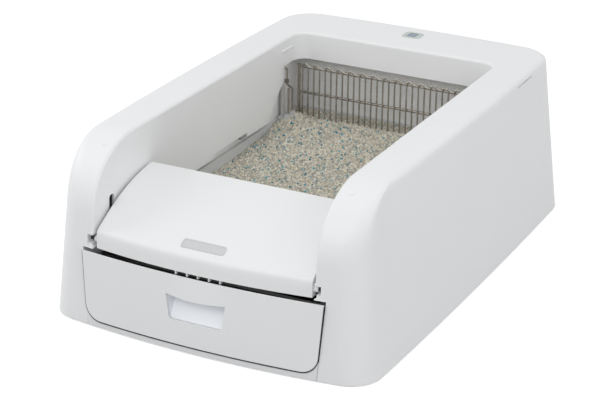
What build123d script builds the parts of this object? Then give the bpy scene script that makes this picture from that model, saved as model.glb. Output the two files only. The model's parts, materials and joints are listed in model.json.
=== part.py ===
"""Automatic raking litter box with a front waste drawer, one solid or group of solids for each real piece.

Millimetres. +Z is up, the front faces -Y, and the origin is on the floor under the middle of the box. A
motor behind the rear wall turns a cross shaft. Its two belts draw a wire rake along the tray to the front,
where a hinged hood covers the waste drawer.
"""
from build123d import *
import math
import os

os.makedirs("parts", exist_ok=True)

# ---- Outer body -------------------------------------------------------------------------------------
length = 674.0              # front to back at the floor
width = 450.0               # at the floor, middle of the sides
top_width = width - 40.0    # at the top, middle of the sides
height = 225.0              # floor to the flat top
wall = 3.0                  # moulded skin
side_bow = 5.0              # the sides stand out this much more at mid-length than at the ends
front_bow = 14.7            # the front stands out this much more at its middle than bow_reach away
rear_bow = 6.5
bow_reach = 200.0
front_lean = 3.3            # degrees, front face leaning back
rear_lean = 5.8
arch_z = 145.0              # above this height the front curves back in a quarter ellipse
arch_depth = 90.0           # how far that curve runs back
corner_radius = 42.0        # upright corners
top_corner_radius = 8.0     # what the front corners shrink to at the top
corner_fade_z = 150.0       # where the front corners begin to shrink
edge_radius = 6.0           # rounding between the sides and the top
skin_lift = 1.5             # the skin stops this far above the floor
arch_steps = 8              # sections that shape the arch
straight_steps = 3          # and as many evenly spaced ones in the straight wall below it
front_end, rear_end, side = -length / 2, length / 2, width / 2

# ---- Opening over the litter ------------------------------------------------------------------------
opening_half = side - 75.0  # half width between the inner walls
opening_rear_y = rear_end - 114.5
opening_corner = 20.0
opening_edge = 3.5          # rounding of the opening's upper edges
skirt_z = 116.0             # lower edge of the inner side walls
skirt_notch = (-22.0, 68.0, 122.0)              # from y, to y, up to z
skirt_rise = ((rear_end - 208.0, 116.0), (rear_end - 186.0, 141.0), (rear_end - 164.0, 161.0),
              (rear_end - 159.0, 166.0))
rear_skirt_z = 186.0        # lower edge of the rear inner wall
guide_slot_y = front_end + 59.5                 # upright slot beside the hood
guide_slot_width = 11.0
guide_slot_top = 152.0
guide_slot_length = 24.0
wall_slot = (rear_end - 165.5, rear_end - 134.0, 207.6, 3.4)    # from y, to y, middle z, height
wall_slot_depth = 1.5       # shallow slot in the inner side wall
side_slot = (rear_end - 173.0, rear_end - 120.0, 217.4, 1.4)    # from y, to y, z, height: thin vent
arrow_mark = ((front_end + 44.0, 180.0), (front_end + 60.0, 183.0), (front_end + 68.0, 176.0))
arrow_depth = 0.5
plug_radius = 6.0
rear_plug = (109.0, rear_end - 63.0)
front_plug = (side - 60.0, front_end + 75.0)
plug_proud = 0.3

# ---- Drawer bay and drawer --------------------------------------------------------------------------
bay_top = 102.0
leg_return = 60.0           # how far the leg's inner face runs back
front_half = (side - 68.3, side - 61.3)         # half width of the drawer front at z 0 and at its top
seam = 0.9                  # visible gap beside the drawer front
sill_z = 8.8                # top of the base's front strip
sill_gap = 1.8              # visible gap below the drawer front
strip_gap = 0.5             # between the base's front strip and the legs
drawer_top = 98.3
drawer_corner = 22.0
drawer_skin = 2.5
drawer_face_low = front_end - 1.6               # middle of the drawer front at its bottom
drawer_face_high = front_end + 1.8              # and at its top
handle_top, handle_sag, handle_bottom = 73.6, 3.0, 41.0         # the window's top edge sags in the middle
handle_half_top, handle_half_bottom = 40.4, 36.0
handle_corner = 5.0
handle_depth = 18.0
handle_wall = 2.0
lip_bulge = 2.0             # the face swells forward above the handle
lip_half = 41.0
bin_front, bin_rear = front_end + 31.0, front_end + 125.0
bin_half = side - 72.0
bin_floor, bin_top = 12.3, 84.0
bin_wall = 2.5
clamp_height, clamp_width = 3.0, 7.0
drawer_arm = (side - 82.0, side - 79.0)         # x of the arm that joins the front to the bin, on each side
runner_width, runner_height = 16.0, 5.0
runner_guide = 2.0
runner_gap = 0.5

# ---- Hood over the drawer ---------------------------------------------------------------------------
hood_half = side - 79.0
hood_skin = 2.5
hood_bow = 11.5             # the front edge stands out this much more at its middle
hood_line = ((front_end + 148.0, 170.0), (front_end + 112.5, 164.7), (front_end + 79.0, 155.2),
             (front_end + 50.0, 142.6), (front_end + 33.0, 133.1), (front_end + 23.2, 127.7),
             (front_end + 19.0, 123.6), (front_end + 17.7, 118.2), (front_end + 17.5, 110.5),
             (front_end + 17.5, 102.8))
hood_flange = 10.0          # depth of the stiffening flange at each side
hood_flange_width = 3.0
hinge_y, hinge_z = front_end + 25.0, 112.0
hinge_ear_radius = 4.2
hinge_ear_reach = side - 73.5
hinge_pin_radius = 2.3
hinge_pin_from, hinge_pin_to = hood_half, side - 60.0
hinge_notch = (side - 67.0, 103.0, 119.5, front_end + 34.0)     # outer x, bottom z, top z, back y
hinge_tab = (side - 73.0, 108.0)                # inner x and top z of the tab in the notch
hinge_boss_radius = 6.0
running = 0.1               # radial clearance of turning and sliding fits
rib_pitch, rib_count, rib_width = 15.0, 5, 2.0
rib_bottom, rib_back, rib_front = 97.5, front_end + 12.5, front_end + 7.8
rib_root = 4.0              # the ribs start this far up inside the hood's skin
badge_size = (58.0, 12.0, 1.0)
badge_y = front_end + 22.5
badge_corner = 3.0
badge_rim, badge_sink = 1.5, 0.4                # width of its raised rim, depth of the blank face

# ---- Base and litter tray ---------------------------------------------------------------------------
foot_radius, foot_height = 11.0, 4.0
foot_places = ((side - 43.0, front_end + 67.0), (side - 35.0, 0.0), (side - 60.0, rear_end - 52.0))
plate = 3.0
plate_gap = 0.7             # between the base plate and the skin round it
base_rim = 17.0
tray_pad = 3.0
tray_seats = (-90.0, 0.0, 90.0)                 # x of the ribs that the tray stands on
tray_wall = 2.0
tray_rim_z = 104.0
tray_half_top, tray_half_floor = side - 65.0, side - 75.0
tray_rear_top, tray_rear_floor = rear_end - 92.0, rear_end - 96.0
tray_front_top, tray_front_floor = front_end + 134.0, front_end + 167.0
tray_corner = 14.0
rim_reach, rim_thick = side - 61.0, 2.5
litter_top, litter_heap = 92.0, 103.0           # level at the front, and where the rake rests
litter_slope = (rear_end - 277.0, rear_end - 137.0)             # y between which it rises
litter_gap = 0.3
liner_y = rear_end - 87.0   # front face of the wall behind the rake
liner_half, liner_thick = side - 60.5, 2.0
liner_front = front_end + 162.0                 # where its side walls start
liner_low = 99.0            # lower edge of its side walls, beside the tray's rim
liner_side_top = 180.0      # upper edge of its side walls, below the rake's bridges
liner_side_end = rear_end - 119.0               # y where that lower top ends
liner_corner = 14.0
liner_rib_pitch, liner_rib, liner_rib_depth = 43.0, 2.0, 0.8
latch = (52.0, 66.0, 116.5, 121.5)              # tray latch in the skirt's notch: y and z
latch_grip = 4.0            # half the height by which it lies against the skirt

# ---- Rake -------------------------------------------------------------------------------------------
rake_y = rear_end - 120.0
bar_radius = 2.0
top_bar_z, mid_bar_z = 175.0, 137.0
post_x, post_radius = side - 78.5, 2.5
post_low, post_top = 100.0, 178.0
tine_radius = 1.15
tine_pitch = 9.0
tine_pairs = 16
tine_top = 176.0
tine_tip = 16.0
arm_y = (rear_end - 161.0, rear_end - 138.0)    # side arms of the carriages
arm_low, arm_high = 105.0, 108.0
riser_x, riser_y = (side - 67.5, side - 65.0), (rear_end - 151.0, rear_end - 141.0)
bridge_z = (183.0, 186.0)   # over the top of the liner's side wall
drop_x = (side - 56.5, side - 54.0)
lug_top = 113.0             # the arm's end is thicker where it grips the wires
hook_x, hook_radius = side - 79.0, 1.5
hook_route = ((rear_end - 165.0, 186.0), (rear_end - 159.5, 182.0), (rear_end - 159.5, 159.5),
              (rear_end - 142.5, 148.0), (rear_end - 142.5, 116.5))
hook_loop = 11.5            # spacing of the two upright wires
hook_end_z = 152.0
pad_z, pad_radius, pad_length = 161.5, 2.9, 5.5
side_wire_z = 110.0         # wire from the arm's lug back to the end post

# ---- Drive ------------------------------------------------------------------------------------------
rod_x, rod_z, rod_radius = side - 50.5, 92.0, 4.0
rod_front, rod_rear = front_end + 103.0, rear_end - 69.0
rod_seat = 7.0              # the brackets reach this far inside the rod
carriage_y = (rear_end - 177.0, rear_end - 115.0)
carriage_x = (side - 57.0, side - 41.0)
carriage_z = (83.5, 106.0)
clamp_set_back = 15.0       # the belt clamp is shorter than the carriage by this much at each end
belt_x, belt_width, belt_thick = side - 35.0, 6.0, 1.4
belt_slack = 0.3
pulley_radius = 11.0
pulley_flange, pulley_flange_thick = 13.0, 1.0
shaft_y, shaft_z, shaft_radius = rear_end - 45.0, 92.0, 3.0
shaft_reach = side - 29.0
idler_y = front_end + 109.0
idler_pin_from = side - 46.0
bracket_x = (side - 49.0, side - 43.0)
bracket_top = 104.0
bracket_y = rear_end - 75.0
bush_radius = 6.0
gear_module = 1.25
gear_teeth, pinion_teeth = 36, 12
gear_width = 8.0
tooth_share = 0.40          # tooth thickness as a share of the pitch; the rest is gap and backlash
motor_radius, motor_length = 15.0, 50.0
motor_plate_x = (9.0, 12.0)
motor_plate_y = (rear_end - 69.0, rear_end - 21.0)
motor_plate_top = 108.0

# ---- Controls ---------------------------------------------------------------------------------------
button_y = rear_end - 56.0
button_size = (13.0, 17.0)
button_gap = 0.3
button_proud = 0.5
button_travel = 1.0
bezel_size = (27.0, 25.0)
bezel_hole = (21.0, 21.0)
bezel_proud = 0.6
board_size = (70.0, 32.0, 1.6)
board_z = 203.0
switch_size = (8.0, 8.0, 4.0)
switch_gap = 0.3
jack_x, jack_z = 120.0, 40.0
jack_radius, jack_bore, jack_flange = 6.0, 2.8, 8.0
screw_x, screw_y = side - 22.0, 150.0
screw_radius, screw_head = 2.0, 4.0
screw_boss, screw_boss_top = 4.5, 190.0
limit_size = (6.0, 20.0, 10.0)
limit_x, limit_z = side - 24.0, 84.0
limit_places = {"front": front_end + 157.0, "rear": rear_end - 95.0}

# ---- Values that follow -----------------------------------------------------------------------------
plate_z = foot_height
drawer_low = sill_z + sill_gap
plate_top = plate_z + plate
deck_under = height - wall
pulley_pitch = pulley_radius + belt_thick / 2
tine_y = rake_y - bar_radius - tine_radius
gear_radius = gear_module * gear_teeth / 2
pinion_radius = gear_module * pinion_teeth / 2
pinion_z = shaft_z - gear_radius - pinion_radius
FAR = 2 * length            # reaches past the whole model in any cut


# ---- Helpers ----------------------------------------------------------------------------------------
def block(x, y, z):
    """Box between two x, two y and two z values."""
    size = [abs(pair[1] - pair[0]) for pair in (x, y, z)]
    middle = [(pair[0] + pair[1]) / 2 for pair in (x, y, z)]
    return Pos(*middle) * Box(*size)


def rod(start, end, radius):
    """Cylinder between two points."""
    start, end = Vector(*start), Vector(*end)
    return Solid.make_cylinder(radius, (end - start).length, Plane(start, z_dir=end - start))


def side_prism(points, x):
    """Outline of (y, z) points extruded from x[0] to x[1]."""
    face = Face(Wire.make_polygon([(x[0], y, z) for y, z in points], close=True))
    return extrude(face, amount=x[1] - x[0], dir=(1, 0, 0))


def rounded_rect(x, y, z, radius):
    """Flat rounded rectangle at height z."""
    middle = Pos((x[0] + x[1]) / 2, (y[0] + y[1]) / 2, z)
    return middle * RectangleRounded(x[1] - x[0], y[1] - y[0], radius)


def both_sides(solid):
    """The solid and its mirror image across the middle plane."""
    return [solid, mirror(solid, about=Plane.YZ)]


def save(name, *shapes):
    """Write one node. Several shapes stay separate solids."""
    solids = [s for shape in shapes for s in shape.solids()]
    export_step(solids[0] if len(solids) == 1 else Compound(children=solids), f"parts/{name}.step")


def save_pair(name, shape):
    """Write the right-hand piece and its mirrored left-hand twin."""
    save(f"{name}_right", shape)
    save(f"{name}_left", mirror(shape, about=Plane.YZ))


# ---- Outer form -------------------------------------------------------------------------------------
def half_width(z, inset):
    """Half width at mid-length, with the top edge rounded."""
    top, radius = height - inset, edge_radius - inset
    over = max(0.0, z - (top - radius))
    rounding = radius - math.sqrt(max(0.0, radius ** 2 - over ** 2))
    return width / 2 - (width - top_width) / 2 * z / height - inset - rounding


def front_y(z, inset):
    """Front face on the centre line: a leaning line, then a quarter ellipse back to the top."""
    rise = max(0.0, z - arch_z) / (height - inset - arch_z)
    back = (arch_depth - inset) * (1 - math.sqrt(max(0.0, 1 - rise ** 2)))
    return -length / 2 + z * math.tan(math.radians(front_lean)) + inset + back


def rear_y(z, inset):
    """Rear face on the centre line."""
    return length / 2 - z * math.tan(math.radians(rear_lean)) - inset


def front_at(x, z, inset=0.0):
    """Front face away from the centre line."""
    return front_y(z, inset) + front_bow * (x / bow_reach) ** 2


def rear_at(x, z, inset=0.0):
    """Rear face away from the centre line."""
    return rear_y(z, inset) - rear_bow * (x / bow_reach) ** 2


def corner_at(z):
    """Front corner radius, which shrinks over the arch."""
    fade = max(0.0, z - corner_fade_z) / (height - corner_fade_z)
    return corner_radius - (corner_radius - top_corner_radius) * fade ** 1.3


def section(z, inset):
    """Closed outline of the body at height z: four bowed edges and four round corners."""
    reach = half_width(z, inset)
    end = reach - side_bow
    front, rear = front_at(end, z, inset), rear_at(end, z, inset)
    middle = (front + rear) / 2
    corners = [(-end, front, z), (end, front, z), (end, rear, z), (-end, rear, z)]
    bulges = [(0, front_y(z, inset), z), (reach, middle, z), (0, rear_y(z, inset), z), (-reach, middle, z)]
    edges = [ThreePointArc(corners[i], bulges[i], corners[(i + 1) % 4]) for i in range(4)]
    wire = Wire(edges)
    points = wire.vertices().sort_by(Axis.Y)
    wire = wire.fillet_2d(corner_at(z) - inset, points[:2])
    points = [v for v in wire.vertices() if abs(v.Y - rear) < 0.01]
    return wire.fillet_2d(corner_radius - inset, points)


def body(bottom, inset):
    """Solid of the outer form from a height upwards, its skin moved inwards by inset.

    Straight walls, then one smooth loft whose sections are evenly spaced round the arch. It starts in the
    straight wall, so that no crease shows where the two meet.
    """
    reach = height - inset - arch_z
    turns = [math.pi / 2 * step / arch_steps for step in range(1, arch_steps + 1)]
    pitch = reach * math.sin(turns[0])
    levels = [arch_z - pitch * step for step in range(straight_steps, -1, -1)]
    levels += [arch_z + reach * math.sin(turn) for turn in turns]
    lower = Solid.make_loft([section(bottom, inset), section(levels[0], inset)], ruled=True)
    return lower + Solid.make_loft([section(z, inset) for z in levels])


def slice_of(bottom, top, inset):
    """Upright slab with the body's outline at its lower height."""
    return extrude(Face(section(bottom, inset)), amount=top - bottom, dir=(0, 0, 1))


# ---- Housing ----------------------------------------------------------------------------------------
def opening_prism(half, rear, radius, z):
    """Upright prism of the top opening, open to the front."""
    front = -length
    face = Face(Wire.make_polygon([(-half, front, z[0]), (half, front, z[0]),
                                   (half, rear, z[0]), (-half, rear, z[0])], close=True))
    prism = extrude(face, amount=z[1] - z[0], dir=(0, 0, 1))
    upright = [e for e in prism.edges().filter_by(Axis.Z) if e.center().Y > 0]
    return fillet(upright, radius)


def skirt_cut():
    """What is taken away below the inner walls' stepped lower edge."""
    start, end, notch_z = skirt_notch
    line = [(-length, 0), (-length, skirt_z), (start, skirt_z), (start, notch_z), (end, notch_z),
            (end, skirt_z), *skirt_rise, (skirt_rise[-1][0], rear_skirt_z), (length, rear_skirt_z),
            (length, 0)]
    half = opening_half + 2 * wall
    return side_prism(line, (-half, half))


def plug_axis():
    """Point on the arch and outward direction for the front plugs."""
    x, y = front_plug
    low, high = arch_z, height
    for _ in range(40):
        z = (low + high) / 2
        low, high = (z, high) if front_at(x, z) < y else (low, z)
    step = 0.5
    slope = (front_at(x, z + step) - front_at(x, z - step)) / (2 * step)
    return Vector(x, y, z), Vector(0, -1, slope).normalized()


def plug(grow):
    """Right-hand front and rear plugs as they sit in their holes, made longer by grow."""
    point, out = plug_axis()
    front = rod(point - out * (wall + grow), point + out * (plug_proud + grow), plug_radius)
    x, y = rear_plug
    rear = rod((x, y, deck_under - grow), (x, y, height + plug_proud + grow), plug_radius)
    return [front, rear]


def bay_at(z):
    """Half width of the bay at a height: the drawer front's slanting edge plus the seam."""
    low, high = front_half
    return low + (high - low) * z / drawer_top + seam


def bay_prism(grow, y, z):
    """Prism along Y of the bay's slanting outline, grown sideways, between two y and two z values."""
    points = [(-bay_at(z[0]) - grow, z[0]), (bay_at(z[0]) + grow, z[0]),
              (bay_at(z[1]) + grow, z[1]), (-bay_at(z[1]) - grow, z[1])]
    face = Face(Wire.make_polygon([(x, y[0], level) for x, level in points], close=True))
    return extrude(face, amount=y[1] - y[0], dir=(0, 1, 0))


def leg_back():
    """How far back the leg's inner wall runs."""
    return front_at(bay_at(0), 0) + leg_return


def leg_walls(shell):
    """Right-hand leg: the bay's side wall, the shelf above it, the hinge boss and the tab under the hinge."""
    back = leg_back()
    outer = bay_at(bay_top) + wall
    height_span = (skin_lift, bay_top + wall)
    leg_side = bay_prism(wall, (-length, back), height_span) - bay_prism(0.0, (-length, back), height_span)
    leg_side &= block((0, FAR), (-length, back), height_span)
    shelf = block((opening_half, outer), (-length, back), (bay_top, bay_top + wall))
    drop = block((opening_half, opening_half + wall), (-length, back), (bay_top, skirt_z + 1))
    notch_x, notch_low, notch_high, notch_back = hinge_notch
    cheek = block((notch_x, notch_x + wall), (-length, notch_back + wall), (bay_top, notch_high + wall))
    wide = (opening_half, notch_x + wall)
    roof = block(wide, (-length, notch_back + wall), (notch_high, notch_high + wall))
    rear = block(wide, (notch_back, notch_back + wall), (bay_top, notch_high + wall))
    boss = rod((notch_x, hinge_y, hinge_z), (hinge_pin_to + wall, hinge_y, hinge_z), hinge_boss_radius)
    solid = (leg_side + shelf + drop + cheek + roof + rear + boss) & shell
    solid -= block((opening_half - 1, notch_x), (-length, notch_back), (notch_low, notch_high))
    tab_x, tab_top = hinge_tab
    solid += block((tab_x, notch_x + 1), (hinge_y - 8, notch_back + 1), (notch_low - 1, tab_top))
    return solid - rod((notch_x - 1, hinge_y, hinge_z), (hinge_pin_to + running, hinge_y, hinge_z),
                       hinge_pin_radius + running)


def side_details(shape):
    """Right-hand slots, holes and marks in the housing."""
    start, end, z, slot = side_slot
    shape -= block((top_width / 2 - 2 * wall, width / 2), (start, end), (z, z + slot))
    low = guide_slot_top - guide_slot_length
    slot_x = (opening_half - 1, opening_half + wall + 1)
    slot_y = (guide_slot_y - guide_slot_width / 2, guide_slot_y + guide_slot_width / 2)
    shape -= block(slot_x, slot_y, (low, guide_slot_top))
    shape -= rod((slot_x[0], guide_slot_y, guide_slot_top), (slot_x[1], guide_slot_y, guide_slot_top),
                 guide_slot_width / 2)
    shape += side_prism(arrow_mark, (opening_half - arrow_depth, opening_half + wall / 2))
    start, end, z, slot = wall_slot
    pocket = block((opening_half - 1, opening_half + wall_slot_depth), (start + slot / 2, end - slot / 2),
                   (z - slot / 2, z + slot / 2))
    for y in (start + slot / 2, end - slot / 2):
        pocket += rod((opening_half - 1, y, z), (opening_half + wall_slot_depth, y, z), slot / 2)
    shape -= pocket
    for hole in plug(1.0):
        shape -= hole
    return shape


def screw_bosses(inner):
    """Posts in the side channels that the base screws pull on."""
    posts = []
    for y in (-screw_y, screw_y):
        post = rod((screw_x, y, plate_top), (screw_x, y, screw_boss_top), screw_boss)
        posts.append(post & inner)
    return posts


def opening_edges(shape):
    """Upper edges of the opening: along both sides, down the arch at the front, and across the rear."""
    picked = []
    for edge in shape.edges():
        middle, box = edge.center(), edge.bounding_box()
        if box.max.Z < skirt_z + 2 or middle.Z < skirt_z + 5:
            continue
        flat = abs(middle.Z - height) < 0.01
        if abs(abs(middle.X) - opening_half) < 0.05 and box.max.X - box.min.X < 0.05:
            y = front_at(opening_half, min(middle.Z, height - 0.1))
            on_arch = abs(middle.Y - y) < 3.0 and box.max.Y - box.min.Y > 3
            if flat or (middle.Y < front_end + arch_depth + 20 and on_arch):
                picked.append(edge)
        elif flat and abs(middle.X) < opening_half + 0.1:
            if opening_rear_y - opening_corner - 15 < middle.Y < opening_rear_y + 0.1:
                picked.append(edge)
    return picked


def upper_housing():
    """Moulded cover: outer skin, top, inner walls round the opening and the two front legs."""
    outer, inner = body(skin_lift, 0.0), body(-1.0, wall)
    shell = outer - inner
    ring = opening_prism(opening_half + wall, opening_rear_y + wall, opening_corner + wall, (0, height + 1))
    ring = (ring & outer) - skirt_cut()
    shape = shell + ring
    shape -= opening_prism(opening_half, opening_rear_y, opening_corner, (bay_top, height + 1))
    shape -= bay_prism(0.0, (-length, 0), (-1, bay_top))
    shape = fillet(opening_edges(shape), opening_edge)
    for x_flip in (False, True):
        for piece in [leg_walls(outer)] + screw_bosses(outer):
            shape += mirror(piece, about=Plane.YZ) if x_flip else piece
    notch_x, notch_low, notch_high, notch_back = hinge_notch
    tab_x, tab_top = hinge_tab
    for sign in (-1, 1):
        clear = block((opening_half - 1, notch_x), (-length, notch_back), (notch_low, notch_high))
        clear -= block((tab_x, notch_x + 1), (hinge_y - 8, notch_back + 1), (notch_low - 1, tab_top))
        shape -= clear if sign > 0 else mirror(clear, about=Plane.YZ)
    shape = mirror(side_details(mirror(side_details(shape), about=Plane.YZ)), about=Plane.YZ)
    shape -= block((-bezel_hole[0] / 2, bezel_hole[0] / 2),
                   (button_y - bezel_hole[1] / 2, button_y + bezel_hole[1] / 2), (deck_under - 1, height + 1))
    for x in (-1, 1):
        for y in (-screw_y, screw_y):
            shape -= rod((x * screw_x, y, 0), (x * screw_x, y, plate_top + 20), screw_radius)
    jack_y = rear_at(jack_x, jack_z)
    shape -= rod((jack_x, jack_y - 20, jack_z), (jack_x, jack_y + 20, jack_z), jack_radius)
    return shape


# ---- Drawer -----------------------------------------------------------------------------------------
def drawer_outline(gap, low, top):
    """Prism along Y of the drawer front's slanting outline, grown sideways by gap."""
    prism = bay_prism(gap - seam, (-FAR, FAR), (low, top))
    bottom = [e for e in prism.edges().filter_by(Axis.Y) if e.center().Z < low + 1]
    return fillet(bottom, drawer_corner + gap)


def bowed_slab(half, thick, low, high):
    """Wall following the front's bow. low and high are (z, y on the centre line)."""
    wires = []
    for z, y in (low, high):
        end = front_bow * (half / bow_reach) ** 2
        outer = ThreePointArc((-half, y + end, z), (0, y, z), (half, y + end, z))
        inner = ThreePointArc((half, y + end + thick, z), (0, y + thick, z), (-half, y + end + thick, z))
        right = Line(outer @ 1, inner @ 0)
        left = Line(inner @ 1, outer @ 0)
        wires.append(Wire([outer, right, inner, left]))
    return Solid.make_loft(wires, ruled=True)


def face_y(z):
    """Middle of the drawer front's outer face."""
    share = (z - drawer_low) / (drawer_top - drawer_low)
    return drawer_face_low + (drawer_face_high - drawer_face_low) * share


def handle_prism(grow, y):
    """Outline of the handle recess, grown on every side, between two y values."""
    low, high = handle_bottom - grow, handle_top + grow
    corners = [(-handle_half_top - grow, y[0], high), (-handle_half_bottom - grow, y[0], low),
               (handle_half_bottom + grow, y[0], low), (handle_half_top + grow, y[0], high)]
    upper = ThreePointArc(corners[3], (0, y[0], high - handle_sag), corners[0])
    face = Face(Wire([*Polyline(*corners).edges(), upper]))
    prism = extrude(face, amount=y[1] - y[0], dir=(0, 1, 0))
    bottom = [e for e in prism.edges().filter_by(Axis.Y) if e.center().Z < handle_bottom + 1]
    return fillet(bottom, handle_corner + grow)


def drawer_lip():
    """Swelling of the face above the handle, fading out towards the top edge."""
    wires = []
    for z, bulge in ((handle_top - handle_sag - 1, lip_bulge), (drawer_top - 1, 0.2)):
        y = face_y(z) + front_bow * (lip_half / bow_reach) ** 2
        arc = ThreePointArc((-lip_half, y, z), (0, face_y(z) - bulge, z), (lip_half, y, z))
        inside = y + drawer_skin / 2
        back = Polyline(arc @ 1, (lip_half, inside, z), (-lip_half, inside, z), arc @ 0)
        wires.append(Wire([arc, *back.edges()]))
    return Solid.make_loft(wires, ruled=True)


def drawer_front():
    """Bowed front with the handle window and two arms back to the bin."""
    low, high = (drawer_low, drawer_face_low), (drawer_top, drawer_face_high)
    panel = bowed_slab(front_half[1], drawer_skin, low, high) & drawer_outline(0.0, drawer_low, drawer_top)
    panel += drawer_lip()
    panel -= handle_prism(0.0, (-FAR, FAR))
    start = face_y(bin_top) + front_bow * (drawer_arm[1] / bow_reach) ** 2
    for arm in both_sides(block(drawer_arm, (start, bin_front), (bin_floor + drawer_corner / 2, bin_top))):
        panel += arm
    return panel


def handle_cup():
    """Scoop behind the window: deep under the lip, flush at its lower edge."""
    reach = handle_half_top + handle_wall
    front = face_y(handle_top + handle_wall) + drawer_skin + front_bow * (reach / bow_reach) ** 2
    deep = front + handle_depth
    shell = handle_prism(handle_wall, (front, deep + handle_wall))
    hollow = handle_prism(0.0, (front - 1, FAR))
    wedge = side_prism([(front - 1, handle_bottom - 0.5), (front, handle_bottom), (deep, handle_top - 8),
                        (deep, handle_top), (front - 1, handle_top)], (-FAR / 2, FAR / 2))
    return shell - (hollow & wedge)


def drawer_bin():
    """Open-topped waste bin, its lower long edges round so that it passes the base's front strip."""
    return bin_form(0.0, bin_top) - bin_form(bin_wall, FAR / 4)


def bin_form(inset, top):
    """The bin's volume, its walls and floor moved inwards by inset."""
    half, low = bin_half - inset, bin_floor + inset
    y = (bin_front + inset, bin_rear - inset)
    form = extrude(rounded_rect((-half, half), y, low, 8 - inset), top - low)
    corner = drawer_corner - inset
    profile = block((-half, half), (-FAR, FAR), (low, 2 * FAR))
    edges = [e for e in profile.edges().filter_by(Axis.Y) if e.center().Z < low + 1]
    return form & fillet(edges, corner)


def bag_clamp_frame():
    """Frame on the bin's rim that holds the waste bag."""
    half, y = bin_half, (bin_front, bin_rear)
    outer = extrude(rounded_rect((-half, half), y, bin_top, 8), clamp_height)
    inside = rounded_rect((-half + clamp_width, half - clamp_width),
                          (y[0] + clamp_width, y[1] - clamp_width), bin_top - 1, 3)
    return outer - extrude(inside, clamp_height + 2)


def drawer_runner():
    """Right-hand runner on the base plate, with a low guide beside the bin."""
    low = plate_top
    edge = bin_half + runner_gap
    foot = block((edge - runner_width, edge + runner_guide), (bin_front, bin_rear),
                 (low, low + runner_height))
    guide = block((edge, edge + runner_guide), (bin_front, bin_rear), (low, low + 3 * runner_height))
    return foot + guide


# ---- Hood -------------------------------------------------------------------------------------------
def hood_section(x, depth, bow=None):
    """Closed (y, z) outline of the hood's skin at x: the top line and the same line moved inwards."""
    bow = hood_bow * (1 - (x / hood_half) ** 2) if bow is None else bow
    run = hood_line[0][0] - hood_line[-1][0]
    line = [(y - bow * (hood_line[0][0] - y) / run, z) for y, z in hood_line]
    inner = []
    for i, (y, z) in enumerate(line):
        before, after = line[max(0, i - 1)], line[min(len(line) - 1, i + 1)]
        dy, dz = after[0] - before[0], after[1] - before[1]
        size = math.hypot(dy, dz)
        inner.append((y - dz / size * depth, z + dy / size * depth))
    top = Spline(*[(x, y, z) for y, z in line])
    under = Spline(*[(x, y, z) for y, z in reversed(inner)])
    return Wire([top, Line(top @ 1, under @ 0), under, Line(under @ 1, top @ 0)])


def waste_hood():
    """Curved cover with side flanges, hinge ears and the short ribs over the drawer's edge."""
    stations = [hood_half * step for step in (-1, -0.5, 0, 0.5, 1)]
    shape = Solid.make_loft([hood_section(x, hood_skin) for x in stations])
    end_face = Face(hood_section(hood_half, hood_flange, 0.0))
    flange = extrude(end_face, amount=-hood_flange_width, dir=(1, 0, 0))
    ear = rod((hood_half - 8, hinge_y, hinge_z), (hinge_ear_reach, hinge_y, hinge_z), hinge_ear_radius)
    pin = rod((hinge_pin_from, hinge_y, hinge_z), (hinge_pin_to, hinge_y, hinge_z), hinge_pin_radius)
    for piece in both_sides(flange) + both_sides(ear):
        shape += piece
    for piece in both_sides(pin):
        shape -= piece
    for i in range(rib_count):
        x = (i - (rib_count - 1) / 2) * rib_pitch
        shape += block((x - rib_width / 2, x + rib_width / 2), (rib_front, rib_back),
                       (rib_bottom, bay_top + rib_root))
    return shape


def badge_plate():
    """Blank plate that follows the hood's brow, with a raised rim."""
    long, tall, thick = badge_size
    stations = [hood_half * step for step in (-1, -0.5, 0, 0.5, 1)]
    whole, sunk = [Solid.make_loft([hood_section(x, -depth) for x in stations])
                   for depth in (thick, thick - badge_sink)]
    place = Pos(0, badge_y, bay_top)
    window = extrude(place * RectangleRounded(long, tall, badge_corner), height)
    inner = RectangleRounded(long - 2 * badge_rim, tall - 2 * badge_rim, badge_corner / 2)
    return (whole & window) - ((whole - sunk) & extrude(place * inner, height))


# ---- Base, tray and litter --------------------------------------------------------------------------
def base_chassis():
    """Floor plate with a rim, the front strip, brackets for the drive and seats for the tray."""
    inset = wall + plate_gap
    shape = slice_of(plate_z, plate_top, inset)
    rim = slice_of(plate_top, plate_top + base_rim, inset + base_rim * 0.1)
    rim -= slice_of(plate_top - 1, plate_top + base_rim + 1, inset + base_rim * 0.1 + wall)
    rim_top = plate_top + base_rim + 1
    shape += rim - bay_prism(wall + plate_gap, (-length, 0), (0, rim_top))
    leg_gap = bay_prism(wall + plate_gap, (-length, leg_back() + plate_gap), (0, rim_top))
    shape -= leg_gap - bay_prism(-plate_gap, (-2 * length, length), (-1, rim_top + 1))
    strip_top = sill_z + drawer_corner
    strip = bowed_slab(bay_at(strip_top), wall, (skin_lift, front_end), (strip_top, face_y(strip_top) + 0.5))
    strip &= bay_prism(-strip_gap, (-length, 0), (0, strip_top + 1))
    shape += strip - drawer_outline(seam, sill_z, FAR / 2)
    shape += block((-bin_half, bin_half), (front_end + 15, bin_front), (plate_z, plate_top))
    apron = bowed_slab(bay_at(0), 20.0, (plate_z, front_end + 0.5), (plate_top, front_end + 0.5))
    shape += apron & bay_prism(-strip_gap, (-length, 0), (0, strip_top))
    for piece in both_sides(front_bracket()) + both_sides(rear_bracket()):
        shape += piece
    for y in limit_places.values():
        shape += block((limit_x - limit_size[0] / 2, limit_x + limit_size[0] / 2),
                       (y - limit_size[1] / 2, y + limit_size[1] / 2), (plate_z, limit_z))
    for x in tray_seats:
        shape += block((x - 6, x + 6), (tray_front_floor + 10, tray_rear_floor - 10),
                       (plate_z, plate_top + tray_pad))
    for x in (-1, 1):
        for y in (-screw_y, screw_y):
            shape -= rod((x * screw_x, y, 0), (x * screw_x, y, FAR), screw_radius + running)
    return shape


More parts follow.
